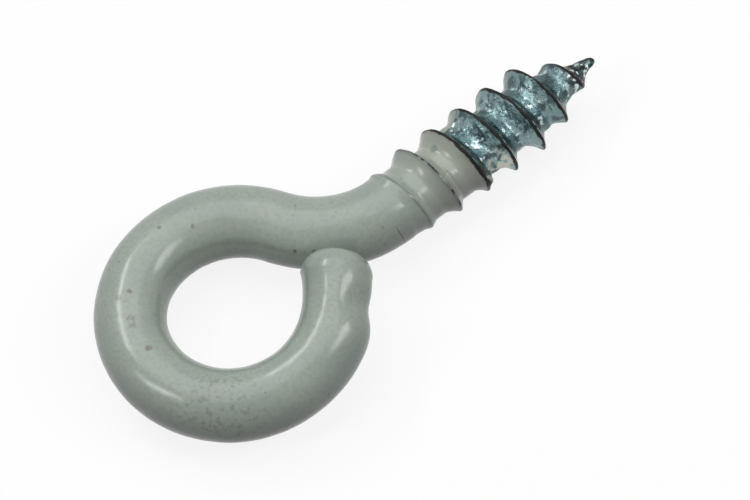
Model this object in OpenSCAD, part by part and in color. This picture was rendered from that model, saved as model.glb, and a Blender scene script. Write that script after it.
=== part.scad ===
// Screw eye: a ring bent from round steel wire, with a wood-screw shank on the same wire.
//
// Frame: the eye lies flat around the origin, the shank points along +X and +Z is up.
// Walked from the point, the wire is a threaded shank, a reverse bend (the neck), a flat
// arc of the eye, and a sprung arc whose sheared end laps on to the neck.

/* [Wire] */
// Diameter of the wire, with its coat
wire_d = 4.05; // [3.6:0.05:4.4]

/* [Eye] */
// Inside diameter of the eye
eye_d = 7.55; // [6.6:0.05:10]
// Sideways distance from the centre of the eye to the axis of the shank
shank_offset = 0.5; // [0:0.1:1.5]
// Inside radius of the neck's reverse bend
neck_inner_r = 4.3; // [3.4:0.1:6.5]
// Where the eye starts to spring out of its plane, round from the shank's direction
spring_at = 215; // [200:1:260]

/* [Free end] */
// Where the free end stops, round from the shank's direction
end_at = 332; // [320:1:344]
// Air left between the free end and the neck under it
lap_gap = 0.15; // [0.02:0.01:0.6]
// Rounding of the edge of the sheared end
end_fillet = 1.4; // [0.3:0.05:1.7]
// Slant of the sheared end, back towards the outside of the eye
end_slant = 20; // [0:1:30]
// Depth of the nick that the bending tool left on the outside, near the end
nick_depth = 0.52; // [0.1:0.02:0.7]
// Distance of the nick from the end, round the eye
nick_back = 17; // [14:1:40]
// Lean of the nick from the eye's plane toward its front face
nick_lean = 15; // [0:1:30]

/* [Thread] */
// Outside diameter of the thread
thread_d = 4.8; // [4.5:0.05:5.6]
// Diameter of the core between the turns
core_d = 3.2; // [2.6:0.05:3.5]
// Distance from one turn to the next
pitch = 2; // [1.4:0.05:2.6]
// Distance from the centre of the eye to the point
point_x = 25.2; // [20:0.1:34]
// Length of the tapered gimlet point
gimlet_len = 4.5; // [3:0.1:7]
// Length over which the turns rise from the plain neck
runout_len = 2; // [1:0.1:4]
// Share of the pitch that a turn's flank towards the eye takes up
back_flank = 0.42; // [0.2:0.01:0.5]
// Share of the pitch that a turn's flank towards the point takes up
front_flank = 0.3; // [0.2:0.01:0.5]
// Share of the pitch, to each side of the crest, that the crest is flat for
crest_land = 0.03; // [0:0.01:0.1]

/* [Hidden] */
$fn = 64;

wire_r = wire_d / 2;
eye_r = (eye_d + wire_d) / 2;            // to the middle of the wire
neck_r = neck_inner_r + wire_r;          // to the middle of the wire

// Stretches of wire stop just short of each joint, and a ball a hair fatter fills it.
joint_swell = 0.02;
joint_gap = 0.01;
nick_r = 1.4 * wire_r;                   // rounding of the tool that left the nick

// The neck is an arc that touches the shank's axis and the eye's circle.
neck_y = neck_r - shank_offset;
neck_x = sqrt(pow(eye_r + neck_r, 2) - pow(neck_y, 2));
neck_angle = atan2(neck_y, neck_x);      // where it meets the eye

// The sprung arc leaves the flat one at spring_at, in line with it, and rises on a
// tilted plane until its end clears the neck by lap_gap.
spring_from = eye_r * [cos(spring_at), sin(spring_at)];
spring_in = -[cos(spring_at), sin(spring_at)];
spring_ahead = [-sin(spring_at), cos(spring_at)];
end_xy = eye_r * [cos(end_at), sin(end_at)];
end_to_neck = norm(end_xy - [neck_x, neck_y]) - neck_r;
end_rise = sqrt(max(0, pow(wire_d + lap_gap, 2) - pow(end_to_neck, 2)));
chord_in = (end_xy - spring_from) * spring_in;
chord_ahead = (end_xy - spring_from) * spring_ahead;
chord_up = norm([chord_in, end_rise]);
spring_tilt = atan2(end_rise, chord_in);
spring_turn = 2 * atan2(chord_up, chord_ahead);
spring_r = (pow(chord_up, 2) + pow(chord_ahead, 2)) / (2 * chord_up);

// Thread: a skin wound along the helix, `turn_steps` stations to a turn and
// `pitch_steps` rows from one turn to the next.
turn_steps = 30;
pitch_steps = 12;
body_r = wire_r - 0.05;                  // what the turns rise from, just under the neck's skin
plug_r = core_d / 3;                     // the skin's hidden start, inside the neck
neck_end_x = neck_x + pitch / 4;
crest_row = 2;                           // row that runs along the crest
buried_turns = 1.4;
slowing_turns = 2;                       // the last turns close up towards the point
blunt_len = 0.15;
blunt_r = 0.14;
flank_curve = 1.4;                       // how hollow the flanks are
taper_curve = 0.85;                      // under 1 makes the gimlet point bulge a little
rise_len = 0.8 * runout_len;             // the turns reach full height before the core does
slowing_len = pitch * slowing_turns / 2;
even_turns = (point_x - blunt_len - slowing_len - neck_end_x) / pitch + buried_turns;
skin_turns = even_turns + slowing_turns;
skin_rows = floor((skin_turns - 1) * pitch_steps);
skin_start_x = neck_end_x - buried_turns * pitch;

function clamp01(v) = max(0, min(1, v));
function smooth(v) = let (c = clamp01(v)) c * c * (3 - 2 * c);

// Distance along the axis after a number of turns of the skin.
function advance(turns) =
    let (late = max(0, turns - even_turns))
    pitch * (turns - late * late / (2 * slowing_turns));

// Height of the thread's section, 1 at the crest and 0 in the hollow.
function section(phase) =
    let (from_crest = phase - round(phase),
         flank = from_crest < 0 ? back_flank : front_flank,
         down = max(0, abs(from_crest) - crest_land) / (flank - crest_land))
    pow(max(0, 1 - down), flank_curve);

// Radius of the skin at a distance x along the axis; the crest is at whole phases.
function skin_radius(x, phase) =
    let (taper = pow(clamp01((point_x - x) / gimlet_len), taper_curve),
         rise = smooth((x - neck_end_x) / rise_len),
         cut = smooth((x - neck_end_x) / runout_len),
         inside = smooth((neck_end_x - pitch / 3 - x) / (pitch / 3)),
         hollow = body_r + (core_d / 2 - body_r) * cut,
         crest = body_r + (thread_d / 2 - body_r) * rise,
         plain = hollow + (crest - hollow) * section(phase))
    max(blunt_r, (plain + (plug_r - plain) * inside) * taper);

function skin_point(step, row) =
    let (turns = row / pitch_steps + step / turn_steps,
         x = skin_start_x + advance(turns),
         r = skin_radius(x, (row - crest_row) / pitch_steps),
         around = 360 * step / turn_steps)
    [x, r * cos(around), r * sin(around)];

// Index of a point of the skin; a full turn round leads to the row one pitch further on.
function skin_index(step, row) =
    step < turn_steps ? row * turn_steps + step
                      : (row + pitch_steps) * turn_steps + step - turn_steps;

// The threaded shank, along the X axis.
module threaded_shank() {
    last_row = skin_rows;
    seam_rows = last_row + pitch_steps;
    points = concat(
        [for (row = [0:seam_rows], step = [0:turn_steps - 1]) skin_point(step, row)],
        [[skin_start_x + pitch / 2, 0, 0], [point_x, 0, 0]]);
    inner_end = (seam_rows + 1) * turn_steps;
    tip = inner_end + 1;
    wound = [for (row = [0:last_row - 1], step = [0:turn_steps - 1])
        let (a = skin_index(step, row), b = skin_index(step + 1, row),
             c = skin_index(step + 1, row + 1), d = skin_index(step, row + 1))
        each [[a, c, b], [a, d, c]]];
    start_turn = [for (step = [0:turn_steps - 1])
        [inner_end, skin_index(step, 0), skin_index(step + 1, 0)]];
    start_step = [for (row = [0:pitch_steps - 1])
        [inner_end, skin_index(0, row + 1), skin_index(0, row)]];
    tip_turn = [for (step = [0:turn_steps - 1])
        [tip, skin_index(step + 1, last_row), skin_index(step, last_row)]];
    tip_step = [for (row = [last_row:seam_rows - 1])
        [tip, skin_index(0, row), skin_index(0, row + 1)]];
    polyhedron(points,
               concat(wound, start_turn, start_step, tip_turn, tip_step));
}

// An arc of wire in the XY plane, round the origin, from one angle through a turn.
module wire_arc(radius, from, turn) {
    trim = joint_gap / radius * 180 / PI;
    rotate([0, 0, from + trim]) rotate_extrude(angle = turn - 2 * trim)
        translate([radius, 0]) circle(d = wire_d);
}

// Fills the joint at an angle round an arc of the given radius.
module wire_joint(radius, at) {
    rotate([0, 0, at]) translate([radius, 0, 0]) sphere(r = wire_r + joint_swell);
}

// Tilts children into the plane of the sprung arc, with its centre at their origin.
module on_spring() {
    translate([spring_from.x, spring_from.y, 0])
        rotate([0, 0, spring_at]) rotate([0, spring_tilt, 0])
            translate([-spring_r, 0, 0]) children();
}

// The rounded, sheared end of the wire, along +Y from the origin.
module sheared_end() {
    rotate([-90, 0, 0]) rotate_extrude() {
        square([wire_r - end_fillet, end_fillet]);
        intersection() {
            translate([wire_r - end_fillet, 0]) circle(r = end_fillet);
            square([wire_r, end_fillet]);
        }
    }
}

module eye() {
    wire_joint(eye_r, neck_angle);
    wire_arc(eye_r, neck_angle, spring_at - neck_angle);
    wire_joint(eye_r, spring_at);
    on_spring() difference() {
        union() {
            wire_arc(spring_r, 0, spring_turn);
            wire_joint(spring_r, spring_turn);
            rotate([0, 0, spring_turn]) translate([spring_r, 0, 0])
                rotate([0, 0, -end_slant]) translate([0, joint_gap, 0]) sheared_end();
        }
        nick();
    }
}

// A shallow hollow across the outside of the wire, a little short of its end.
module nick() {
    rotate([0, 0, spring_turn - nick_back])
        translate([spring_r, 0, 0]) rotate([0, -nick_lean, 0])
            translate([wire_r + nick_r - nick_depth, 0, 0]) sphere(r = nick_r);
}

module neck() {
    translate([neck_x, neck_y, 0]) {
        wire_arc(neck_r, 180 + neck_angle, 90 - neck_angle);
        wire_joint(neck_r, 270);
    }
    translate([neck_x + joint_gap, -shank_offset, 0]) rotate([0, 90, 0])
        cylinder(d = wire_d, h = neck_end_x - neck_x - joint_gap);
}

module screw_eye() {
    color("lightgray") union() {
        eye();
        neck();
        translate([0, -shank_offset, 0]) threaded_shank();
    }
}

screw_eye();
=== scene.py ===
"""Screw eye: one formed steel wire with a lapped eye, a threaded shank and a pale coat over zinc.

The wire is walked from the shank's neck round the eye to the free end, and the threaded
shank is wound on the other way. Sizes are in millimetres until they reach the mesh.
"""

from __future__ import annotations

import logging
import math
from dataclasses import dataclass, field
from enum import Enum
from typing import Union

import bmesh
import bpy
from mathutils import Matrix, Quaternion, Vector, noise

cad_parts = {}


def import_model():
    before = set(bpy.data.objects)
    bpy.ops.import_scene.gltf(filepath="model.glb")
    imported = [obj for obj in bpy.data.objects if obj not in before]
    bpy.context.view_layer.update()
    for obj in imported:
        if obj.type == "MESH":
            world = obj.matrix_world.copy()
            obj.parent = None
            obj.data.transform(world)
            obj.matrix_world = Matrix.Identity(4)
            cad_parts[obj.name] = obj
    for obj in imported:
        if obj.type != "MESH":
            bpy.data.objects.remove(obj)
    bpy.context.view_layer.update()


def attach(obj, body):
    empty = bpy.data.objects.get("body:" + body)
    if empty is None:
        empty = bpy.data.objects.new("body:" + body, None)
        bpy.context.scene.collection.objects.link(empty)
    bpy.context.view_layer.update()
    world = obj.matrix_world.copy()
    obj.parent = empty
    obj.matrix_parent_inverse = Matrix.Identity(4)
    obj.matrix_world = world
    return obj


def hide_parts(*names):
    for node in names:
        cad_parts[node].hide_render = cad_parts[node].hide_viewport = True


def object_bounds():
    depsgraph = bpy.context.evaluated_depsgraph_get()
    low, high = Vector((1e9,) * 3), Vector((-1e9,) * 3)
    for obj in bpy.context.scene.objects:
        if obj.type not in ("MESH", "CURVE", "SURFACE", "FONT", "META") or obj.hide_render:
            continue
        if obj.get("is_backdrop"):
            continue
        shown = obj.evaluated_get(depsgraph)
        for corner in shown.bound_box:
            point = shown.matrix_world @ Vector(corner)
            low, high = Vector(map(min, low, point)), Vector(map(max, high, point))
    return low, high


log = logging.getLogger("screw_eye")

MM = 0.001
NODE = "screw_eye"
PIECE = "formed_wire"
FILM = "film"
FULL_TURN = 2.0 * math.pi

# Millimetres within which two points count as level, and within which they are welded
LEVEL = 0.0001
WELD = 0.001

# Directions that a noise and scattered points are shifted along
NOISE_WAY = (1.0, 0.7, 1.3)
POINTS_WAY = (1.0, 0.6, 1.7)

# Inputs of a Mix node that take its two numbers, and its two colours
NUMBER_PAIR = (2, 3)
COLOUR_PAIR = (6, 7)

Socket = bpy.types.NodeSocket


class Tint(Enum):
    """Colours of the finish, each as linear red, green, blue and alpha."""

    COAT = (0.320, 0.377, 0.323, 1.0)
    COAT_CREAM = (0.345, 0.360, 0.305, 1.0)
    COAT_SHADE = (0.285, 0.341, 0.302, 1.0)
    COAT_GRAIN = (0.275, 0.300, 0.265, 1.0)
    SPECK = (0.125, 0.115, 0.088, 1.0)
    RUBBED = (0.085, 0.095, 0.092, 1.0)
    BARED = (0.185, 0.220, 0.212, 1.0)
    RESIDUE = (0.42, 0.44, 0.38, 1.0)
    ZINC_MID = (0.195, 0.285, 0.290, 1.0)
    # Painted shade on the flanks that face the point; also darkens the zinc towards the point
    ZINC_SHADE = (0.078, 0.130, 0.136, 1.0)
    # Painted reflection: the dark surroundings mirrored in the zinc, as mottled patches
    ZINC_DARK_REFLECTION = (0.035, 0.06, 0.07, 1.0)
    # Painted highlight: glints in the hollows, beside the bare crests and on the tip
    ZINC_PAINTED_GLINT = (0.67, 0.79, 0.79, 1.0)
    SEAM = (0.016, 0.015, 0.013, 1.0)


Feed = Union[float, tuple, Tint, Socket]


def clamp01(value: float) -> float:
    """Return the value held between 0 and 1."""
    return max(0.0, min(1.0, value))


def smooth(value: float) -> float:
    """Return the value held between 0 and 1, eased at both ends."""
    held = clamp01(value)
    return held * held * (3.0 - 2.0 * held)


def bell(offset: float, width: float) -> float:
    """Return 1 at no offset, falling smoothly to nothing a few widths away."""
    return math.exp(-((offset / width) ** 2))


def add_object(name: str, data: bpy.types.ID) -> bpy.types.Object:
    """Return a new object of the scene.

    Args:
        name: the object's name.
        data: the mesh, camera or lamp that it shows.

    Returns:
        The object, linked to the scene.
    """
    thing = bpy.data.objects.new(name, data)
    bpy.context.scene.collection.objects.link(thing)
    return thing


def turned_to(side: Vector, back: Vector) -> Matrix:
    """Return the turn that lays x along `side` and z along `back`."""
    return Matrix((side, back.cross(side), back)).transposed().to_4x4()


def draw_out(
    mesh: bmesh.types.BMesh, rim: list, start: Vector, ahead: Vector, width: float, rings: list
) -> None:
    """Draw an open rim out through narrower rings, and close the last of them.

    Args:
        mesh: the mesh being built.
        rim: the edges of the rim.
        start: middle of the rim.
        ahead: direction that the rings follow.
        width: width of the rim, in the units of the rings' widths.
        rings: width of each new ring, and how far it lies from the start.
    """
    gone = 0.0
    for ring_width, forward in rings:
        out = bmesh.ops.extrude_edge_only(mesh, edges=rim)["geom"]
        verts = [item for item in out if isinstance(item, bmesh.types.BMVert)]
        rim = [item for item in out if isinstance(item, bmesh.types.BMEdge)]
        narrower = Vector((1, 1, 1)) * (ring_width / width)
        centre = Matrix.Translation(-(start + ahead * gone))
        bmesh.ops.scale(mesh, vec=narrower, verts=verts, space=centre)
        bmesh.ops.translate(mesh, vec=ahead * (forward - gone), verts=verts)
        width, gone = ring_width, forward
    bmesh.ops.contextual_create(mesh, geom=rim)


@dataclass(frozen=True)
class WireForm:
    """Driving sizes of the bent wire, in millimetres and degrees."""

    wire_d: float = 4.05
    eye_d: float = 7.55
    shank_offset: float = 0.5
    neck_inner_r: float = 4.3
    spring_at: float = 215.0
    end_at: float = 332.0
    lap_gap: float = 0.15
    end_fillet: float = 1.4
    end_crown: float = 0.06
    end_slant: float = 20.0
    slant_reach: float = 2.0

    @property
    def wire_r(self) -> float:
        """Radius of the wire."""
        return self.wire_d / 2

    @property
    def eye_r(self) -> float:
        """Radius of the eye, to the middle of the wire."""
        return (self.eye_d + self.wire_d) / 2

    @property
    def neck_r(self) -> float:
        """Radius of the neck's bend, to the middle of the wire."""
        return self.neck_inner_r + self.wire_r

    @property
    def neck_centre(self) -> Vector:
        """Centre of the neck's bend."""
        rise = self.neck_r - self.shank_offset
        return Vector((math.sqrt((self.eye_r + self.neck_r) ** 2 - rise**2), rise, 0.0))

    @property
    def neck_angle(self) -> float:
        """Direction from the eye's centre to the point where the neck meets it, in radians."""
        return math.atan2(self.neck_centre.y, self.neck_centre.x)


@dataclass(frozen=True)
class SprungArc:
    """The last arc of the eye, which leaves the eye's plane to lap over the neck."""

    form: WireForm

    @property
    def start(self) -> Vector:
        """Middle of the wire where the arc starts."""
        at = math.radians(self.form.spring_at)
        return self.form.eye_r * Vector((math.cos(at), math.sin(at), 0.0))

    @property
    def ahead(self) -> Vector:
        """Direction of the wire where the arc starts."""
        at = math.radians(self.form.spring_at)
        return Vector((-math.sin(at), math.cos(at), 0.0))

    @property
    def chord(self) -> Vector:
        """Step from the start to the end of the arc."""
        form = self.form
        at = math.radians(form.end_at)
        end = form.eye_r * Vector((math.cos(at), math.sin(at), 0.0))
        to_neck = (end - form.neck_centre).length - form.neck_r
        end.z = math.sqrt((form.wire_d + form.lap_gap) ** 2 - to_neck**2)
        return end - self.start

    @property
    def inward(self) -> Vector:
        """Direction from the start to the arc's centre."""
        across = self.chord - self.chord.dot(self.ahead) * self.ahead
        return across.normalized()

    @property
    def radius(self) -> float:
        """Radius of the arc, to the middle of the wire."""
        along, across = self.chord.dot(self.ahead), self.chord.dot(self.inward)
        return (along**2 + across**2) / (2 * across)

    @property
    def turn(self) -> float:
        """Angle of the arc, in radians."""
        return 2 * math.atan2(self.chord.dot(self.inward), self.chord.dot(self.ahead))

    @property
    def centre(self) -> Vector:
        """Centre of the arc."""
        return self.start + self.radius * self.inward

    @property
    def axis(self) -> Vector:
        """Axis of the arc, which the wire turns round."""
        return (-self.inward).cross(self.ahead)

    def place(self, back: float) -> tuple[Vector, Vector, Vector]:
        """Return a place on the arc.

        Args:
            back: angle back from the end of the arc, in radians.

        Returns:
            The middle of the wire, its direction, and the direction out from the arc's centre.
        """
        turned = Quaternion(self.axis, self.turn - back)
        outward = turned @ (-self.inward)
        return self.centre + self.radius * outward, turned @ self.ahead, outward

    def back_of(self, spot: Vector) -> float:
        """Return how far back from the end of the arc a point lies.

        Args:
            spot: the point, in millimetres.

        Returns:
            The angle in radians, never less than 0.
        """
        _, ahead, outward = self.place(0.0)
        arm = spot - self.centre
        return max(0.0, math.atan2(-arm.dot(ahead), arm.dot(outward)))


@dataclass(frozen=True)
class ThreadForm:
    """Driving sizes of the wood-screw thread, in millimetres.

    A flank is a share of the pitch. A hollow is first cut to the share `first_cut` of its
    depth, and a crest first rises to the share `low_rise` of its height.
    """

    thread_d: float = 4.8
    core_d: float = 3.2
    pitch: float = 2.0
    point_x: float = 25.2
    gimlet_len: float = 4.5
    taper_curve: float = 0.85
    blunt_r: float = 0.14
    back_flank: float = 0.42
    front_flank: float = 0.30
    crest_land: float = 0.03
    flank_curve: float = 1.4
    crest_x: float = 0.667
    first_turn: int = 5
    body_drop: float = 0.03
    body_drop_len: float = 0.3
    first_cut: float = 0.52
    first_cut_len: float = 0.42
    full_cut_after: float = 1.2
    full_cut_len: float = 1.2
    low_rise: float = 0.25
    low_rise_len: float = 0.25
    full_rise_after: float = 0.7
    full_rise_len: float = 1.5

    def phase(self, x: float, around: float) -> float:
        """Return the distance from the crest line in turns, whole on the crest."""
        return (x - self.crest_x) / self.pitch - around / FULL_TURN

    def cut_share(self, x: float, around: float) -> float:
        """Return how deep the hollow is cut: shallow behind the first crest, then to the core.

        Args:
            x: distance along the shank's axis from the eye's centre.
            around: angle round the shank, in radians.

        Returns:
            The share of the full depth.
        """
        past_first = (self.phase(x, around) - self.first_turn) * self.pitch
        shallow = smooth(past_first / self.first_cut_len)
        full = smooth((past_first - self.full_cut_after) / self.full_cut_len)
        return self.first_cut * shallow + (1 - self.first_cut) * full

    def rise(self, past_start: float) -> float:
        """Return how far the crests have risen: a low first turn, then full height.

        Args:
            past_start: distance past the place where the thread starts to rise.

        Returns:
            The share of the full height.
        """
        low = smooth(past_start / self.low_rise_len)
        full = smooth((past_start - self.full_rise_after) / self.full_rise_len)
        return self.low_rise * low + (1 - self.low_rise) * full

    def section(self, phase: float) -> float:
        """Return the height of the thread's section.

        Args:
            phase: distance from the crest line, in turns.

        Returns:
            The height, 1 at the crest and 0 in the hollow.
        """
        from_crest = phase - round(phase)
        flank = self.back_flank if from_crest < 0 else self.front_flank
        down = max(0.0, abs(from_crest) - self.crest_land) / (flank - self.crest_land)
        return max(0.0, 1 - down) ** self.flank_curve

    def radius(self, x: float, around: float, start_x: float, wire_r: float) -> float:
        """Return the radius of the threaded shank.

        Args:
            x: distance along the shank's axis from the eye's centre.
            around: angle round the shank, in radians.
            start_x: where the thread starts to rise.
            wire_r: radius of the plain wire.

        Returns:
            The radius at that place, never less than the blunt point's.
        """
        body = wire_r - self.body_drop * smooth((x - start_x) / self.body_drop_len)
        hollow = body + (self.core_d / 2 - body) * self.cut_share(x, around)
        crest = body + (self.thread_d / 2 - body) * self.rise(x - start_x)
        taper = clamp01((self.point_x - x) / self.gimlet_len) ** self.taper_curve
        plain = hollow + (crest - hollow) * self.section(self.phase(x, around))
        return max(self.blunt_r, plain * taper)


@dataclass(frozen=True)
class Nick:
    """The hollow that bending pressed into the outside of the wire, behind the free end.

    It lies `back` radians behind the end, and leans out of the arc's plane by the slope
    `lean`. It fades to the sides between two cosines of the angle from its own direction.
    Lengths are in millimetres.
    """

    back: float = math.radians(17)
    lean: float = 0.25
    depth: float = 0.55
    half_len: float = 1.15
    reach: float = 3.4
    side_cosine: float = 0.15
    full_cosine: float = 0.90

    def cut(self, arm: Vector, ahead: Vector, cosine: float) -> float:
        """Return how deep the nick is at a point of the wire.

        Args:
            arm: step from the middle of the wire at the nick to the point.
            ahead: direction of the wire at the nick.
            cosine: cosine of the angle from the nick's direction to the surface's.

        Returns:
            The depth, in millimetres.
        """
        facing = smooth((cosine - self.side_cosine) / (self.full_cosine - self.side_cosine))
        return self.depth * bell(arm.dot(ahead), self.half_len) * facing * bell(arm.length, self.reach)


@dataclass(frozen=True)
class Blob:
    """A small thickening: its place, how thick it is and how wide it spreads, in millimetres."""

    place: tuple
    thick: float
    width: float

    def near(self, spot: Vector) -> float:
        """Return 1 in the middle of it, falling to 0 away from it."""
        return bell((spot - Vector(self.place)).length, self.width)

    def height(self, spot: Vector) -> float:
        """Return how thick it is at a point."""
        return self.thick * self.near(spot)


@dataclass(frozen=True)
class Wave:
    """Gentle unevenness: its height in millimetres, its waves to the millimetre, and a shift."""

    height: float
    per_mm: float
    shift: tuple = (0.0, 0.0, 0.0)

    def at(self, spot: Vector) -> float:
        """Return how far the surface stands out at a point."""
        return self.height * noise.noise(spot * self.per_mm + Vector(self.shift))


@dataclass(frozen=True)
class CoatForm:
    """How the coat lies on the wire, in millimetres and radians.

    Its edge follows one crest line of the thread for a turn from `edge_x` on, and steps
    back at `step_at`. The coat sags in the hollows by `sag`, and by `low_sag` more on
    the lower side. Away from the thread its film counts as `whole_film`.
    """

    edge_x: float = 14.72
    step_at: float = math.radians(42.0)
    whole_film: float = 9.0
    sag: float = 0.12
    low_sag: float = 0.24
    sag_past_edge: float = 0.10
    sag_fade: float = 0.25
    drop: Blob = Blob((16.3, -2.6, 0.1), 0.42, 0.5)
    drop_film: float = 0.8
    residues: tuple = (Blob((17.0, -2.2, 0.35), 0.38, 1.0), Blob((15.7, 1.2, 0.83), 0.22, 0.8))
    waves: tuple = (Wave(0.022, 0.45), Wave(0.010, 1.3, (7.0, 3.0, 1.0)))
    crest_wave: Wave = Wave(0.05, 1.1, (2.0, 5.0, 8.0))

    def film(self, spot: Vector, around: float, pitch: float) -> float:
        """Return the distance back from the coat's edge, negative on bare metal.

        Args:
            spot: the point on the threaded shank.
            around: its angle round the shank, in radians.
            pitch: pitch of the thread.

        Returns:
            The distance, in millimetres.
        """
        wrapped = around if around > self.step_at else around + FULL_TURN
        edge = self.edge_x + pitch * wrapped / FULL_TURN
        return edge - spot.x + self.drop_film * self.drop.near(spot)

    def pool(self, spot: Vector, hollow: float, facing_down: float, film: float) -> float:
        """Return how thick the coat and its residue lie in the thread.

        Args:
            spot: the point on the threaded shank.
            hollow: 1 in the bottom of a fully cut hollow, 0 on a crest.
            facing_down: how far the surface faces the lower side, up to 1.
            film: distance back from the coat's edge.

        Returns:
            The thickness, in millimetres.
        """
        sag = self.sag + self.low_sag * smooth(facing_down)
        coat = sag * hollow * smooth((film + self.sag_past_edge) / self.sag_fade)
        residue = sum(blob.height(spot) for blob in self.residues) * hollow
        return coat + self.drop.height(spot) + residue


@dataclass
class ScrewEye:
    """The whole wire as one piece: eye, neck, threaded shank and free end.

    Its steps are counts of the mesh, apart from `arc_step` in radians and `fillet_step`
    in degrees. `skin_slack` is how far from the plain skin a point still counts as on it,
    in millimetres. The rings of the face and the point are shares of a width, and those
    of the point also say how far along they lie.
    """

    form: WireForm = field(default_factory=WireForm)
    thread: ThreadForm = field(default_factory=ThreadForm)
    nick: Nick = field(default_factory=Nick)
    coat: CoatForm = field(default_factory=CoatForm)
    segments: int = 96
    rows_per_pitch: int = 32
    arc_step: float = math.radians(1.1)
    least_steps: int = 8
    skin_slack: float = 0.02
    wound_turns: int = 6
    fillet_step: int = 9
    face_rings: tuple = (0.8, 0.6, 0.4, 0.2, 0.08)
    point_rings: tuple = ((0.85, 0.5), (0.6, 0.85), (0.25, 1.0))

    @property
    def start_x(self) -> float:
        """Where the straight, threaded shank starts."""
        return self.form.neck_centre.x

    @property
    def closed_x(self) -> float:
        """Where the wound part of the shank stops, just short of the point."""
        return self.start_x + self.thread.pitch * (self.wound_turns + 1)

    def build(self) -> bpy.types.Object:
        """Build the piece.

        Returns:
            The finished wire, in the frame's place and in metres.
        """
        mesh = bmesh.new()
        self.wind_shank(mesh)
        self.walk_eye(mesh)
        bmesh.ops.remove_doubles(mesh, verts=mesh.verts, dist=WELD)
        self.raise_thread(mesh)
        self.close_point(mesh)
        bmesh.ops.recalc_face_normals(mesh, faces=mesh.faces)
        mesh.normal_update()
        self.mark_film(mesh)
        self.dress_shape(mesh)
        bmesh.ops.scale(mesh, vec=(MM, MM, MM), verts=mesh.verts)
        for face in mesh.faces:
            face.smooth = True
        data = bpy.data.meshes.new(PIECE)
        mesh.to_mesh(data)
        mesh.free()
        return add_object(PIECE, data)

    def wind_shank(self, mesh: bmesh.types.BMesh) -> None:
        """Wind a plain skin round the shank, in rows that follow the thread.

        The first and the last turn narrow to nothing, so the skin starts and ends in a plain ring.

        Args:
            mesh: the mesh being built.
        """
        pitch, radius = self.thread.pitch, self.form.wire_r
        low_x = self.start_x - pitch
        rows = [
            mesh.verts.new((low_x + pitch * row / self.rows_per_pitch, radius, 0.0))
            for row in range(self.rows_per_pitch + 1)
        ]
        chain = [mesh.edges.new(pair) for pair in zip(rows, rows[1:])]
        turns = self.wound_turns + 2
        bmesh.ops.spin(
            mesh, geom=rows + chain, cent=(0.0, 0.0, 0.0), axis=(1.0, 0.0, 0.0),
            dvec=(pitch / self.segments, 0.0, 0.0), angle=FULL_TURN * turns,
            steps=self.segments * turns, use_duplicate=False,
        )
        last_edge = self.start_x + pitch * self.wound_turns
        for vert in mesh.verts:
            share = self.station(vert.co.y, vert.co.z) / self.segments
            if vert.co.x < self.start_x + pitch * share - LEVEL:
                width = vert.co.x - (low_x + pitch * share)
                vert.co.x = self.start_x + width * share
            elif vert.co.x > self.closed_x - LEVEL and share == 0.0:
                vert.co.x = self.closed_x
            elif vert.co.x > last_edge + pitch * share:
                edge = last_edge + pitch * share
                vert.co.x = edge + (vert.co.x - edge) * (1.0 - share)
        bmesh.ops.translate(mesh, vec=(0.0, -self.form.shank_offset, 0.0), verts=mesh.verts)

    def station(self, y: float, z: float) -> int:
        """Return the number of the column that a point round the shank's axis lies in."""
        return round(math.atan2(z, y) / FULL_TURN * self.segments) % self.segments

    def around(self, spot: Vector) -> float:
        """Return the angle of a point round the shank's axis, in radians."""
        return math.atan2(spot.z, spot.y + self.form.shank_offset) % FULL_TURN

    def walk_eye(self, mesh: bmesh.types.BMesh) -> None:
        """Run the wire's round section from the shank round the neck and the eye to its end.

        Args:
            mesh: the mesh being built.
        """
        form, arc = self.form, SprungArc(self.form)
        place = Matrix.Translation((self.start_x, -form.shank_offset, 0.0))
        turned = Matrix.Rotation(math.radians(90), 4, "X") @ Matrix.Rotation(math.radians(90), 4, "Y")
        ring = bmesh.ops.create_circle(
            mesh, segments=self.segments, radius=form.wire_r, cap_ends=False, matrix=place @ turned
        )
        edges = list(dict.fromkeys(edge for vert in ring["verts"] for edge in vert.link_edges))
        start = list(ring["verts"]) + edges
        neck_turn = math.radians(90) - form.neck_angle
        flat_turn = math.radians(form.spring_at) - form.neck_angle
        stretches = [
            (form.neck_centre, Vector((0, 0, 1)), -neck_turn),
            (Vector((0, 0, 0)), Vector((0, 0, 1)), flat_turn),
            (arc.centre, arc.axis, arc.turn),
        ]
        for centre, axis, angle in stretches:
            before = len(mesh.verts)
            spun = bmesh.ops.spin(
                mesh, geom=start, cent=centre, axis=axis, dvec=(0, 0, 0), angle=angle,
                steps=max(self.least_steps, round(abs(angle) / self.arc_step)), use_duplicate=False,
            )
            start = spun["geom_last"]
        self.round_end(mesh, start, arc)
        mesh.verts.ensure_lookup_table()
        self.slant_end(mesh.verts[before:], arc)

    def round_end(self, mesh: bmesh.types.BMesh, ring: list, arc: SprungArc) -> None:
        """Close the free end with a rounded edge and a slightly crowned face.

        Args:
            mesh: the mesh being built.
            ring: the last ring of the wire, vertices and edges.
            arc: the arc that the end lies on.
        """
        form = self.form
        middle, ahead, _ = arc.place(0.0)
        flat_r = form.wire_r - form.end_fillet
        turns = [math.radians(turn) for turn in range(self.fillet_step, 90 + 1, self.fillet_step)]
        rings = [
            (flat_r + form.end_fillet * math.cos(turn), form.end_fillet * math.sin(turn)) for turn in turns
        ]
        rings += [
            (flat_r * share, form.end_fillet + form.end_crown * (1 - share**2)) for share in self.face_rings
        ]
        edges = [item for item in ring if isinstance(item, bmesh.types.BMEdge)]
        draw_out(mesh, edges, middle, ahead, form.wire_r, rings)

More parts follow.
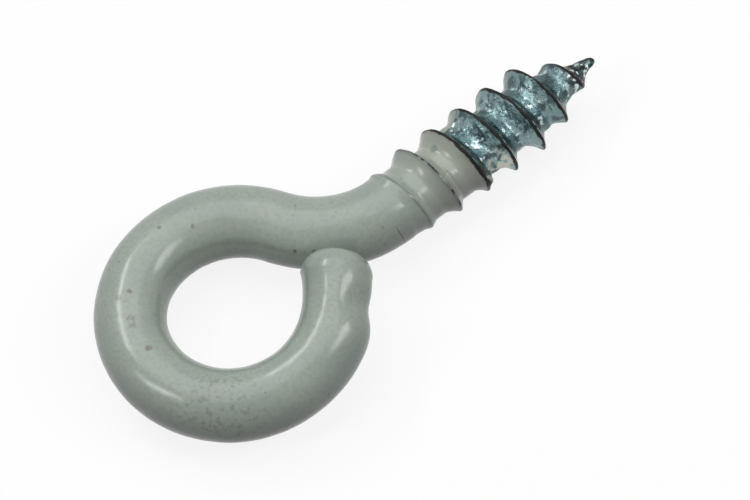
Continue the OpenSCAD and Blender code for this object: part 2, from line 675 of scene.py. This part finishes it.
    def slant_end(self, verts: list, arc: SprungArc) -> None:
        """Turn the sheared end back towards the outside, and ease the wire behind it to match.

        Args:
            verts: the vertices of the sprung arc and the end on it.
            arc: the arc that the end lies on.
        """
        slant = math.radians(self.form.end_slant)
        middle, ahead, _ = arc.place(0.0)
        for vert in verts:
            if (vert.co - middle).dot(ahead) > 0.0:
                centre, share = middle, 1.0
            else:
                back = arc.back_of(vert.co)
                centre, share = arc.place(back)[0], smooth(1.0 - back * arc.radius / self.form.slant_reach)
            vert.co = centre + Quaternion(arc.axis, -slant * share) @ (vert.co - centre)

    def raise_thread(self, mesh: bmesh.types.BMesh) -> None:
        """Move the plain skin of the shank out to the crests and in to the core.

        Args:
            mesh: the mesh, with the shank still plain.
        """
        axis_y = -self.form.shank_offset
        for vert in mesh.verts:
            if vert.co.x <= self.start_x + LEVEL:
                continue
            arm = Vector((0.0, vert.co.y - axis_y, vert.co.z))
            if abs(arm.length - self.form.wire_r) > self.skin_slack:
                continue
            around = math.atan2(arm.z, arm.y) % FULL_TURN
            radius = self.thread.radius(vert.co.x, around, self.start_x, self.form.wire_r)
            arm *= radius / arm.length
            vert.co = Vector((vert.co.x, axis_y + arm.y, arm.z))

    def close_point(self, mesh: bmesh.types.BMesh) -> None:
        """Draw the open ring at the end of the shank out to a blunt point.

        Args:
            mesh: the mesh, with the thread raised.
        """
        rim = [
            edge for edge in mesh.edges
            if edge.is_boundary and edge.verts[0].co.x > self.closed_x - self.skin_slack
        ]
        start = Vector((self.closed_x, -self.form.shank_offset, 0.0))
        reach = self.thread.point_x - self.closed_x
        rings = [(width, reach * forward) for width, forward in self.point_rings]
        draw_out(mesh, rim, start, Vector((1.0, 0.0, 0.0)), 1.0, rings)

    def mark_film(self, mesh: bmesh.types.BMesh) -> None:
        """Store the distance back from the coat's edge at each point, in millimetres.

        Args:
            mesh: the whole wire, still plain.
        """
        film = mesh.verts.layers.float.new(FILM)
        for vert in mesh.verts:
            vert[film] = self.coat.whole_film
            if vert.co.x > self.start_x:
                vert[film] = self.coat.film(vert.co, self.around(vert.co), self.thread.pitch)

    def dress_shape(self, mesh: bmesh.types.BMesh) -> None:
        """Give the plain form the marks of its making: the nick and the uneven, pooled coat.

        Args:
            mesh: the whole wire, closed and marked with its film.
        """
        arc = SprungArc(self.form)
        film = mesh.verts.layers.float[FILM]
        middle, ahead, outward = arc.place(self.nick.back)
        lean = (outward + self.nick.lean * arc.axis).normalized()
        moves: dict[bmesh.types.BMVert, Vector] = {}
        for vert in mesh.verts:
            spot = vert.co
            if spot.x < self.start_x:
                outwards = vert.normal
                push = -self.nick.cut(spot - middle, ahead, vert.normal.dot(lean))
            else:
                outwards = Vector((0.0, spot.y + self.form.shank_offset, spot.z)).normalized()
                push = self.thread_push(spot, -vert.normal.y, vert[film])
            if vert[film] > 0.0:
                push += sum(wave.at(spot) for wave in self.coat.waves)
            moves[vert] = outwards * push
        for vert, move in moves.items():
            vert.co += move

    def thread_push(self, spot: Vector, facing_down: float, film: float) -> float:
        """Return how far the coat and the unevenness of the crests push the thread outwards.

        Args:
            spot: the point on the threaded shank.
            facing_down: how far the surface faces the lower side, up to 1.
            film: distance back from the coat's edge.

        Returns:
            The push, in millimetres.
        """
        around = self.around(spot)
        section = self.thread.section(self.thread.phase(spot.x, around))
        hollow = self.thread.cut_share(spot.x, around) * (1.0 - section)
        return self.coat.pool(spot, hollow, facing_down, film) + section * self.coat.crest_wave.at(spot)


@dataclass(frozen=True)
class Pattern:
    """A noise pattern: cells to the millimetre, detail, a shift, two limits and a strength.

    Patches show where the noise is above `low`, fully above `high`, and a varied value
    wanders from `low` to `high`.
    """

    per_mm: float
    detail: float
    shift: float
    low: float = 0.0
    high: float = 1.0
    share: float = 1.0


@dataclass(frozen=True)
class Spot:
    """A round place on the wire, in millimetres: full within `inner`, gone beyond `outer`."""

    place: tuple
    outer: float
    inner: float
    share: float = 1.0


@dataclass(frozen=True)
class Speck:
    """A small mark in the coat: its place and half-width in millimetres, and how strong it is."""

    place: tuple
    half_width: float
    share: float = 0.8
    outer_share: float = 2.2
    inner_share: float = 0.8

    @property
    def spot(self) -> Spot:
        """The round place that the mark lies in."""
        outer, inner = self.half_width * self.outer_share, self.half_width * self.inner_share
        return Spot(self.place, outer, inner, self.share)


@dataclass(frozen=True)
class NodeKit:
    """Short forms for wiring shader nodes in one material."""

    tree: bpy.types.NodeTree

    def add(self, kind: str, **settings: object) -> bpy.types.Node:
        """Return a new node.

        Args:
            kind: the node's type.
            settings: its settings, by name.

        Returns:
            The node.
        """
        node = self.tree.nodes.new(kind)
        for name, value in settings.items():
            setattr(node, name, value)
        return node

    def link(self, source: Socket, target: Socket) -> None:
        """Join two sockets."""
        self.tree.links.new(source, target)

    def feed(self, socket: Socket, value: Feed) -> None:
        """Give a socket its value.

        Args:
            socket: the input.
            value: a number, a colour or a tint, or another socket to link it to.
        """
        if isinstance(value, bpy.types.NodeSocket):
            self.link(value, socket)
        else:
            socket.default_value = value.value if isinstance(value, Tint) else value

    def math(self, operation: str, first: Feed, second: Feed = 0.0, third: Feed = 0.0) -> Socket:
        """Return the result of a math node.

        Args:
            operation: the node's operation.
            first: its first value, a socket or a number.
            second: its second value.
            third: its third value.

        Returns:
            The node's output.
        """
        node = self.add("ShaderNodeMath", operation=operation)
        for socket, value in zip(node.inputs, (first, second, third)):
            self.feed(socket, value)
        return node.outputs[0]

    def times(self, first: Feed, second: Feed) -> Socket:
        """Return the product of two values."""
        return self.math("MULTIPLY", first, second)

    def rest_of(self, share: Feed) -> Socket:
        """Return what a share leaves of 1."""
        return self.math("SUBTRACT", 1.0, share)

    def away_from(self, value: Socket, level: float) -> Socket:
        """Return how far a value lies from a level, on either side."""
        return self.math("ABSOLUTE", self.math("SUBTRACT", value, level))

    def attribute(self, name: str) -> Socket:
        """Return a stored value of the mesh."""
        return self.add("ShaderNodeAttribute", attribute_name=name).outputs["Fac"]

    def place(self) -> Socket:
        """Return the object's own coordinates, in metres."""
        return self.add("ShaderNodeTexCoord").outputs["Object"]

    def axes(self) -> tuple:
        """Return the object's own x, y and z, in metres."""
        split = self.add("ShaderNodeSeparateXYZ")
        self.link(self.place(), split.inputs[0])
        return tuple(split.outputs)

    def scaled_place(self, per_mm: float, shift: tuple) -> Socket:
        """Return the object's own coordinates, scaled and shifted.

        Args:
            per_mm: units to the millimetre.
            shift: how far they are shifted, in units.

        Returns:
            The coordinates.
        """
        mapping = self.add("ShaderNodeMapping")
        mapping.inputs["Location"].default_value = shift
        mapping.inputs["Scale"].default_value = (per_mm / MM,) * 3
        self.link(self.place(), mapping.inputs["Vector"])
        return mapping.outputs[0]

    def noise(self, pattern: Pattern) -> Socket:
        """Return a noise on the object's own coordinates.

        Args:
            pattern: its cells, detail and shift.

        Returns:
            The noise, from 0 to 1.
        """
        shift = tuple(pattern.shift * way for way in NOISE_WAY)
        node = self.add("ShaderNodeTexNoise")
        node.inputs["Scale"].default_value = 1.0
        node.inputs["Detail"].default_value = pattern.detail
        self.link(self.scaled_place(pattern.per_mm, shift), node.inputs["Vector"])
        return node.outputs["Fac"]

    def cells(self, per_mm: float, shift: float) -> Socket:
        """Return the distance to the nearest of many scattered points.

        Args:
            per_mm: points to the millimetre.
            shift: a shift, which scatters them anew.

        Returns:
            The distance, 0 on a point.
        """
        ways = tuple(shift * way for way in POINTS_WAY)
        node = self.add("ShaderNodeTexVoronoi")
        node.inputs["Scale"].default_value = 1.0
        self.link(self.scaled_place(per_mm, ways), node.inputs["Vector"])
        return node.outputs["Distance"]

    def ramp(self, value: Socket, low: float, high: float) -> Socket:
        """Return a share that is eased between two values and held beyond them.

        Args:
            value: the value that it follows.
            low: where the share is 0.
            high: where the share is 1, which may be the smaller value.

        Returns:
            The share.
        """
        node = self.add("ShaderNodeMapRange", interpolation_type="SMOOTHSTEP")
        self.feed(node.inputs["Value"], value)
        node.inputs["From Min"].default_value = low
        node.inputs["From Max"].default_value = high
        return node.outputs["Result"]

    def patches(self, pattern: Pattern) -> Socket:
        """Return how much of the pattern's patches shows."""
        return self.times(self.ramp(self.noise(pattern), pattern.low, pattern.high), pattern.share)

    def varied(self, pattern: Pattern) -> Socket:
        """Return a value that wanders from the pattern's low limit to its high one."""
        return self.math("MULTIPLY_ADD", self.noise(pattern), pattern.high - pattern.low, pattern.low)

    def near(self, spot: Spot) -> Socket:
        """Return how much of a round place shows.

        Args:
            spot: the place.

        Returns:
            Its strength in the middle, and 0 outside it.
        """
        node = self.add("ShaderNodeVectorMath", operation="DISTANCE")
        self.link(self.place(), node.inputs[0])
        node.inputs[1].default_value = tuple(value * MM for value in spot.place)
        return self.times(self.ramp(node.outputs["Value"], spot.outer * MM, spot.inner * MM), spot.share)

    def blend(self, share: Feed, first: Feed, second: Feed) -> Socket:
        """Return a mix of two numbers.

        Args:
            share: how much of the second one shows.
            first: the first number.
            second: the second number.

        Returns:
            The mixed number.
        """
        node = self.add("ShaderNodeMix", data_type="FLOAT")
        self.feed(node.inputs["Factor"], share)
        for place, value in zip(NUMBER_PAIR, (first, second)):
            self.feed(node.inputs[place], value)
        return node.outputs[0]

    def mix(self, share: Feed, first: Feed, second: Feed) -> Socket:
        """Return a mix of two colours.

        Args:
            share: how much of the second one shows.
            first: the first colour.
            second: the second colour.

        Returns:
            The mixed colour.
        """
        node = self.add("ShaderNodeMix", data_type="RGBA")
        self.feed(node.inputs["Factor"], share)
        for place, value in zip(COLOUR_PAIR, (first, second)):
            self.feed(node.inputs[place], value)
        return node.outputs[2]

    def seen_white(self) -> Socket:
        """Tell the rays that show the surroundings from those that light the part.

        Returns:
            1 for rays of the camera, gloss and glass, and 0 for the others.
        """
        path = self.add("ShaderNodeLightPath")
        seen = self.math("MAXIMUM", path.outputs["Is Camera Ray"], path.outputs["Is Glossy Ray"])
        return self.math("MAXIMUM", seen, path.outputs["Is Transmission Ray"])


@dataclass(frozen=True)
class Lay:
    """Where a point lies on the wire and what covers it, as sockets.

    `film` is the distance back from the coat's edge and `off_crest` the distance past
    the nearest crest line towards the point, in millimetres. `turns` is whole on the
    crest lines, and `covered` is 1 under the coat.
    """

    film: Socket
    turns: Socket
    off_crest: Socket
    covered: Socket
    bare: Socket


@dataclass(frozen=True)
class WireFinish:
    """Gloss coat on the eye and first turns, bright zinc beyond it, one material for the one piece.

    A pair of numbers is where a thing starts to show and where it shows fully, in
    millimetres unless it is said otherwise.
    """

    thread: ThreadForm = field(default_factory=ThreadForm)
    axis_y: float = -WireForm.shank_offset

    rough_zinc: Pattern = Pattern(3.5, 3.0, 0.0, 0.16, 0.46)
    rough_coat: Pattern = Pattern(1.4, 3.0, 5.0, 0.15, 0.31)
    gloss: float = 0.5
    seam_gloss: float = 0.05

    ragged_edge: Pattern = Pattern(2.2, 3.0, 2.0, -0.18, 0.18)
    edge_fade: tuple = (-0.03, 0.03)
    rubbed_width: Pattern = Pattern(2.6, 3.0, 9.0, -0.14, 0.16)
    rubbed_fade: tuple = (0.02, -0.02)
    rubbed_turns: tuple = (0.5, 0.6)

    clouds: Pattern = Pattern(0.35, 3.0, 1.0, 0.35, 0.70)
    grain: Pattern = Pattern(4.6, 4.0, 21.0, 0.42, 0.72, 0.75)
    cream_film: tuple = (4.5, 1.0)
    cream_share: float = 0.65
    dust: Pattern = Pattern(3.4, 5.0, 4.0, 0.52, 0.63)
    dusty: Spot = Spot((-4.9, -5.0, 1.5), 4.2, 0.8, 0.38)
    scatter_per_mm: float = 1.3
    scatter_shift: float = 3.0
    scatter_size: tuple = (0.11, 0.06)
    scatter_where: Pattern = Pattern(0.5, 2.0, 4.0, 0.50, 0.60, 0.55)
    speck_break: Pattern = Pattern(4.0, 3.0, 12.0, 0.38, 0.50)
    specks: tuple = (
        Speck((-0.4, 6.0, 2.0), 0.08),
        Speck((1.1, 4.9, 1.9), 0.09),
        Speck((-4.1, 3.9, 2.0), 0.10),
        Speck((-4.8, 4.0, 2.0), 0.12, 0.6),
        Speck((-5.1, 2.5, 2.0), 0.16, 0.45),
        Speck((-5.3, 2.1, 2.0), 0.14, 0.45),
        Speck((-5.5, 0.4, 2.0), 0.13),
        Speck((4.6, 0.4, 1.0), 0.08),
        Speck((5.4, -0.3, 1.0), 0.09),
    )
    bare_spot: Spot = Spot((14.3, 0.1, 1.6), 0.33, 0.154, 0.8)

    # Painted shade across each turn, darker on the flank that faces the point
    flank_shade: tuple = (-0.3, 0.7)
    darker_x: tuple = (18.5, 22.5)
    darker_share: float = 0.35
    # Painted dark reflections that mottle the zinc
    painted_dark_reflections: Pattern = Pattern(1.7, 4.0, 6.0, 0.46, 0.60, 0.8)
    # Painted highlight: glints in the middle of the hollows
    painted_hollow_glints: Pattern = Pattern(2.8, 4.0, 11.0, 0.57, 0.68, 0.7)
    hollow: tuple = (0.25, 0.60)
    left_over: tuple = (Spot((17.0, -2.4, 0.4), 1.2, 0.5), Spot((15.6, 1.4, 1.0), 0.9, 0.5))
    residue_patches: Pattern = Pattern(2.4, 3.0, 7.0, 0.40, 0.53)
    tip_x: tuple = (22.4, 23.4)
    worn_patches: Pattern = Pattern(1.9, 4.0, 17.0, 0.38, 0.50, 0.85)
    # Painted highlight: bright sparkle on the tip
    painted_tip_sparkle: Pattern = Pattern(2.6, 3.0, 23.0, 0.60, 0.67, 0.9)

    seam_width: Pattern = Pattern(1.6, 2.0, 13.0, 0.02, 0.26)
    seam_off: float = 0.03
    seam_fade: tuple = (0.03, -0.02)
    seam_turns: tuple = (1.6, 1.8)
    seam_share: float = 0.95
    worn_line: tuple = (0.13, 0.06)
    worn_line_break: Pattern = Pattern(1.3, 3.0, 19.0, 0.26, 0.46, 0.9)
    worn_turns: tuple = (-0.05, 0.05)
    grey_band: tuple = (0.26, 0.05)
    grey_share: float = 0.55
    # Painted highlight line beside the bare crests
    glint_off: float = 0.14
    glint_line: tuple = (0.05, 0.02)
    glint_break: Pattern = Pattern(1.1, 3.0, 15.0, 0.50, 0.57)
    runout_turns: float = -0.875
    runout_line: tuple = (0.03, 0.01)
    runout: Spot = Spot((9.9, -2.4, 0.3), 1.1, 0.4, 0.6)

    hammered: Pattern = Pattern(2.4, 4.0, 8.0, 0.0, 1.7)
    peel: Pattern = Pattern(1.2, 2.0, 3.0, 0.0, 0.06)
    coat_step: float = 0.6
    bump_strength: float = 0.9
    bump_height: float = 0.09

    def make(self) -> bpy.types.Material:
        """Make the finish.

        Returns:
            Its material.
        """
        material = bpy.data.materials.new("coated_zinc_steel")
        material.use_nodes = True
        kit = NodeKit(material.node_tree)
        shader = material.node_tree.nodes["Principled BSDF"]
        lay = self.lay(kit)
        seam = self.rolled_seam(kit, lay)
        surface = kit.mix(lay.covered, self.zinc_colour(kit, lay), self.coat_colour(kit, lay))
        kit.link(self.crest_lines(kit, lay, surface, seam), shader.inputs["Base Color"])
        kit.link(kit.times(lay.bare, kit.rest_of(seam)), shader.inputs["Metallic"])
        gloss = kit.math("MULTIPLY_ADD", seam, self.seam_gloss - self.gloss, self.gloss)
        kit.link(gloss, shader.inputs["Specular IOR Level"])
        roughness = kit.blend(lay.covered, kit.varied(self.rough_zinc), kit.varied(self.rough_coat))
        kit.link(roughness, shader.inputs["Roughness"])
        kit.link(self.relief(kit, lay), shader.inputs["Normal"])
        return material

    def lay(self, kit: NodeKit) -> Lay:
        """Work out where a point lies on the wire and what covers it.

        Args:
            kit: the material's node kit.

        Returns:
            The shared sockets.
        """
        film, turns = kit.attribute(FILM), self.turns(kit)
        whole_turns = kit.math("ROUND", turns)
        off_crest = kit.times(kit.math("SUBTRACT", turns, whole_turns), self.thread.pitch)
        covered = self.covered(kit, film, turns, off_crest)
        return Lay(film, turns, off_crest, covered, kit.rest_of(covered))

    def turns(self, kit: NodeKit) -> Socket:
        """Return how many turns a point is along the thread.

        Args:
            kit: the material's node kit.

        Returns:
            The turns, whole on the crest lines.
        """
        x, y, z = kit.axes()
        across = kit.math("SUBTRACT", y, self.axis_y * MM)
        angle = kit.math("DIVIDE", kit.math("ARCTAN2", z, across), FULL_TURN)
        around = kit.math("SUBTRACT", angle, kit.math("FLOOR", angle))
        past_start = kit.math("SUBTRACT", x, self.thread.crest_x * MM)
        return kit.math("SUBTRACT", kit.math("DIVIDE", past_start, self.thread.pitch * MM), around)

    def from_turn(self, kit: NodeKit, turns: Socket, span: tuple) -> Socket:
        """Return how far past a span of turns a point is.

        Args:
            kit: the material's node kit.
            turns: turns along the thread.
            span: where it starts and ends, counted from the first turn of the thread.

        Returns:
            0 before the span and 1 past it.
        """
        start, full = span
        return kit.ramp(turns, self.thread.first_turn + start, self.thread.first_turn + full)

    def covered(self, kit: NodeKit, film: Socket, turns: Socket, off_crest: Socket) -> Socket:
        """Return 1 under the coat and 0 on bare metal, with the coat rubbed through along its crests.

        Args:
            kit: the material's node kit.
            film: distance back from the coat's edge.
            turns: turns along the thread.
            off_crest: distance past the nearest crest line.

        Returns:
            The share that is covered.
        """
        edge = kit.ramp(kit.math("ADD", film, kit.varied(self.ragged_edge)), *self.edge_fade)
        off_line = kit.math("SUBTRACT", kit.math("ABSOLUTE", off_crest), kit.varied(self.rubbed_width))
        on_line = kit.ramp(off_line, *self.rubbed_fade)
        rubbed = kit.times(on_line, self.from_turn(kit, turns, self.rubbed_turns))
        return kit.times(edge, kit.rest_of(rubbed))

    def coat_colour(self, kit: NodeKit, lay: Lay) -> Socket:
        """Return the colour of the coat, with its clouding, specks and dust.

        Args:
            kit: the material's node kit.
            lay: where a point lies on the wire.

        Returns:
            The coat's colour.
        """
        colour = kit.mix(kit.patches(self.clouds), Tint.COAT, Tint.COAT_SHADE)
        colour = kit.mix(kit.patches(self.grain), colour, Tint.COAT_GRAIN)
        creamy = kit.times(kit.ramp(lay.film, *self.cream_film), self.cream_share)
        colour = kit.mix(creamy, colour, Tint.COAT_CREAM)
        dusty = kit.times(kit.patches(self.dust), kit.near(self.dusty))
        colour = kit.mix(dusty, colour, Tint.SPECK)
        points = kit.ramp(kit.cells(self.scatter_per_mm, self.scatter_shift), *self.scatter_size)
        colour = kit.mix(kit.times(points, kit.patches(self.scatter_where)), colour, Tint.SPECK)
        broken = kit.patches(self.speck_break)
        for speck in self.specks:
            colour = kit.mix(kit.times(kit.near(speck.spot), broken), colour, Tint.SPECK)
        return kit.mix(kit.near(self.bare_spot), colour, Tint.BARED)

    def zinc_colour(self, kit: NodeKit, lay: Lay) -> Socket:
        """Return the colour of the zinc: painted shade on the flanks that face the point, darker towards
        the point, mottled with painted dark reflections and with painted glints in the hollows.

        Args:
            kit: the material's node kit.
            lay: where a point lies on the wire.

        Returns:
            The zinc's colour, with the residue of the coat and the worn tip with its painted sparkle.
        """
        along = kit.math("DIVIDE", kit.axes()[0], MM)
        # Painted shade: the flanks that face the point are darker than those that face the eye.
        metal = kit.mix(kit.ramp(lay.off_crest, *self.flank_shade), Tint.ZINC_MID, Tint.ZINC_SHADE)
        darker = kit.times(kit.ramp(along, *self.darker_x), self.darker_share)
        metal = kit.mix(darker, metal, Tint.ZINC_SHADE)
        # Painted dark reflections mottle the zinc.
        metal = kit.mix(kit.patches(self.painted_dark_reflections), metal, Tint.ZINC_DARK_REFLECTION)
        # Painted highlight: bright glints in the middle of the hollows.
        in_hollow = kit.ramp(kit.math("ABSOLUTE", lay.off_crest), *self.hollow)
        metal = kit.mix(kit.times(kit.patches(self.painted_hollow_glints), in_hollow), metal, Tint.ZINC_PAINTED_GLINT)
        lower, upper = (kit.near(spot) for spot in self.left_over)
        residue = kit.times(kit.math("MAXIMUM", lower, upper), kit.patches(self.residue_patches))
        metal = kit.mix(residue, metal, Tint.RESIDUE)
        tip = kit.ramp(along, *self.tip_x)
        metal = kit.mix(kit.times(tip, kit.patches(self.worn_patches)), metal, Tint.SEAM)
        # Painted highlight: bright sparkle on the tip.
        return kit.mix(kit.times(tip, kit.patches(self.painted_tip_sparkle)), metal, Tint.ZINC_PAINTED_GLINT)

    def rolled_seam(self, kit: NodeKit, lay: Lay) -> Socket:
        """Return how much shows of the dark seam that rolling left along the last crests.

        Args:
            kit: the material's node kit.
            lay: where a point lies on the wire.

        Returns:
            The seam's share, up to 1.
        """
        off_seam = kit.away_from(lay.off_crest, self.seam_off)
        line = kit.ramp(kit.math("SUBTRACT", off_seam, kit.varied(self.seam_width)), *self.seam_fade)
        where = kit.math("MAXIMUM", lay.bare, self.from_turn(kit, lay.turns, self.seam_turns))
        return kit.times(line, kit.times(where, self.seam_share))

    def crest_lines(self, kit: NodeKit, lay: Lay, colour: Socket, seam: Socket) -> Socket:
        """Return the colour with the lines drawn along the crests and at the run-out, among them a painted
        highlight line beside the bare crests.

        Args:
            kit: the material's node kit.
            lay: where a point lies on the wire.
            colour: the colour of the surface under the lines.
            seam: how much of the rolled seam shows.

        Returns:
            The colour of the whole finish.
        """
        off_line = kit.math("ABSOLUTE", lay.off_crest)
        painted = kit.times(lay.covered, self.from_turn(kit, lay.turns, self.worn_turns))
        worn = kit.times(kit.ramp(off_line, *self.worn_line), kit.patches(self.worn_line_break))
        colour = kit.mix(kit.times(worn, painted), colour, Tint.RUBBED)
        grey = kit.times(kit.ramp(off_line, *self.grey_band), self.grey_share)
        colour = kit.mix(kit.times(grey, painted), colour, Tint.BARED)
        colour = kit.mix(seam, colour, Tint.SEAM)
        # Painted highlight: a broken bright line just past each bare crest.
        glint = kit.ramp(kit.away_from(lay.off_crest, self.glint_off), *self.glint_line)
        broken = kit.times(kit.patches(self.glint_break), lay.bare)
        colour = kit.mix(kit.times(glint, broken), colour, Tint.ZINC_PAINTED_GLINT)
        runout = kit.away_from(lay.turns, self.thread.first_turn + self.runout_turns)
        fading = kit.times(kit.ramp(runout, *self.runout_line), kit.near(self.runout))
        return kit.mix(fading, colour, Tint.SEAM)

    def relief(self, kit: NodeKit, lay: Lay) -> Socket:
        """Return the small relief of both surfaces.

        Args:
            kit: the material's node kit.
            lay: where a point lies on the wire.

        Returns:
            The bumped normal.
        """
        metal = kit.times(kit.varied(self.hammered), lay.bare)
        peel = kit.times(kit.varied(self.peel), lay.covered)
        height = kit.math("ADD", kit.math("ADD", metal, peel), kit.times(lay.covered, self.coat_step))
        bump = kit.add("ShaderNodeBump")
        bump.inputs["Strength"].default_value = self.bump_strength
        bump.inputs["Distance"].default_value = self.bump_height * MM
        kit.link(height, bump.inputs["Height"])
        return bump.outputs[0]


@dataclass(frozen=True)
class Viewpoint:
    """The camera, from the direction, roll and distance that it looks at the eye from.

    The view is a frame of 750 by 500, and `eye_px` is where the shank's axis abreast of
    the eye's centre falls in it. The near and far clips are in metres.
    """

    azimuth: float = math.radians(29.31)
    elevation: float = math.radians(60.46)
    roll: float = math.radians(10.26)
    px_per_mm: float = 18.2
    distance_px: float = 7000.0
    frame_px: tuple = (750.0, 500.0)
    eye_px: tuple = (241.0, 319.0)
    clip: tuple = (0.01, 10.0)

    def place(self, form: WireForm) -> bpy.types.Object:
        """Return the camera in its place.

        Args:
            form: the wire's sizes, which say where the shank's axis lies.

        Returns:
            The scene's camera.
        """
        level = Vector((math.cos(self.azimuth), -math.sin(self.azimuth), 0.0))
        ground = Vector((math.sin(self.azimuth), math.cos(self.azimuth), 0.0))
        up = ground * math.sin(self.elevation) + Vector((0, 0, math.cos(self.elevation)))
        look = ground * math.cos(self.elevation) - Vector((0, 0, math.sin(self.elevation)))
        right = level * math.cos(self.roll) - up * math.sin(self.roll)
        above = level * math.sin(self.roll) + up * math.cos(self.roll)
        subject = Vector((0.0, -form.shank_offset, 0.0))
        spot = subject - look * (self.distance_px / self.px_per_mm)
        across = (self.frame_px[0] / 2 - self.eye_px[0]) / self.px_per_mm
        down = (self.eye_px[1] - self.frame_px[1] / 2) / self.px_per_mm
        aim = subject + right * across + above * down
        back = (spot - aim).normalized()
        side = above.cross(back).normalized()
        data = bpy.data.cameras.new("viewpoint")
        data.lens = data.sensor_width * self.distance_px / self.frame_px[0]
        data.clip_start, data.clip_end = self.clip
        camera = add_object("viewpoint", data)
        camera.matrix_world = Matrix.Translation(spot * MM) @ turned_to(side, back)
        bpy.context.scene.camera = camera
        return camera


@dataclass(frozen=True)
class Lamp:
    """One soft area lamp: a panel that runs between two directions, each in the camera's axes.

    A direction is how far it points to the right, up and back towards the camera. The
    panel's width and its reach from the part are in metres.
    """

    name: str
    first: tuple
    last: tuple
    width: float
    watts: float
    reach: float = 0.30

    def hang(self, camera: bpy.types.Object, target: Vector) -> bpy.types.Object:
        """Return the lamp, turned to the target.

        Args:
            camera: the camera, whose axes the directions are in.
            target: the place that the lamp lights, in metres.

        Returns:
            The lamp.
        """
        axes = camera.matrix_world.to_3x3()
        first, last = (axes @ Vector(way).normalized() * self.reach for way in (self.first, self.last))
        along = (last - first).normalized()
        away = ((first + last) / 2).normalized()
        side = along.cross(away).normalized()
        data = bpy.data.lights.new(self.name, "AREA")
        data.shape = "RECTANGLE"
        data.size, data.size_y = self.width, (last - first).length
        data.energy = self.watts
        lamp = add_object(self.name, data)
        lamp.matrix_world = Matrix.Translation(target + away * self.reach) @ turned_to(side, away)
        return lamp


@dataclass(frozen=True)
class Studio:
    """Pale floor, soft lamps and plain surroundings.

    The floor and the world light the part with a grey of `dim`, and show themselves
    white. The floor's size and the lit place are in metres.
    """

    lamps: tuple = (
        Lamp("left_lamp", (-0.43, 0.86, 0.26), (-0.66, 0.47, 0.58), 0.038, 0.20),
        Lamp("low_lamp", (-0.82, 0.03, 0.57), (-0.56, 0.05, 0.83), 0.045, 0.15),
        Lamp("right_lamp", (0.42, 0.22, 0.88), (0.80, 0.36, 0.48), 0.080, 0.27),
        Lamp("front_lamp", (-0.34, 0.20, 0.92), (-0.20, 0.27, 0.94), 0.020, 0.015),
        Lamp("top_lamp", (-0.70, 0.72, 0.66), (0.50, 0.72, 0.66), 0.30, 0.46),
    )
    lit_place: tuple = (0.008, 0.0, 0.0)
    floor_size: float = 3.0
    dim: float = 0.12
    paper: float = 0.95
    glow: float = 0.86

    def build(self, camera: bpy.types.Object, lowest: float) -> None:
        """Set up the surroundings.

        Args:
            camera: the camera, which the lamps are placed by.
            lowest: height of the lowest point of the part, in metres.
        """
        for lamp in self.lamps:
            lamp.hang(camera, Vector(self.lit_place))
        self.lay_floor(lowest)
        self.light_world()

    def lay_floor(self, lowest: float) -> None:
        """Lay the floor under the part.

        Args:
            lowest: height of the lowest point of the part, in metres.
        """
        mesh = bmesh.new()
        bmesh.ops.create_grid(mesh, x_segments=1, y_segments=1, size=self.floor_size)
        bmesh.ops.translate(mesh, vec=(0.0, 0.0, lowest), verts=mesh.verts)
        data = bpy.data.meshes.new("floor")
        mesh.to_mesh(data)
        mesh.free()
        floor = add_object("floor", data)
        data.materials.append(self.floor_finish())
        floor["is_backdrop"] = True

    def floor_finish(self) -> bpy.types.Material:
        """Make the floor's finish: white to the camera, with a soft shadow kept.

        Returns:
            Its material.
        """
        material = bpy.data.materials.new("pale_floor")
        material.use_nodes = True
        tree = material.node_tree
        kit = NodeKit(tree)
        tree.nodes.remove(tree.nodes["Principled BSDF"])
        seen = kit.seen_white()
        paper = kit.add("ShaderNodeBsdfDiffuse")
        kit.link(kit.mix(seen, (self.dim,) * 3 + (1.0,), (self.paper,) * 3 + (1.0,)), paper.inputs["Color"])
        glow = kit.add("ShaderNodeEmission")
        glow.inputs["Color"].default_value = (1.0, 1.0, 1.0, 1.0)
        both = kit.add("ShaderNodeMixShader")
        kit.link(kit.times(seen, self.glow), both.inputs[0])
        kit.link(paper.outputs[0], both.inputs[1])
        kit.link(glow.outputs[0], both.inputs[2])
        kit.link(both.outputs[0], tree.nodes["Material Output"].inputs["Surface"])
        return material

    def light_world(self) -> None:
        """Fill the world with plain soft light, and show white to the camera."""
        world = bpy.data.worlds.new("surroundings")
        bpy.context.scene.world = world
        world.use_nodes = True
        kit = NodeKit(world.node_tree)
        shade = world.node_tree.nodes["Background"]
        shade.inputs["Color"].default_value = (1.0, 1.0, 1.0, 1.0)
        strength = kit.math("MULTIPLY_ADD", kit.seen_white(), 1.0 - self.dim, self.dim)
        kit.link(strength, shade.inputs["Strength"])


def main() -> None:
    """Build the screw eye in its frame, dress it and set the studio."""
    logging.basicConfig(level=logging.INFO)
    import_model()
    bpy.context.scene.view_settings.view_transform = "Standard"
    eye = ScrewEye()
    piece = eye.build()
    piece.data.materials.append(WireFinish().make())
    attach(piece, "root")
    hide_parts(NODE)
    log.info("%s: %d faces in the place of %s", piece.name, len(piece.data.polygons), NODE)
    camera = Viewpoint().place(eye.form)
    bpy.context.view_layer.update()
    Studio().build(camera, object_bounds()[0][2])


if __name__ == "__main__":
    main()
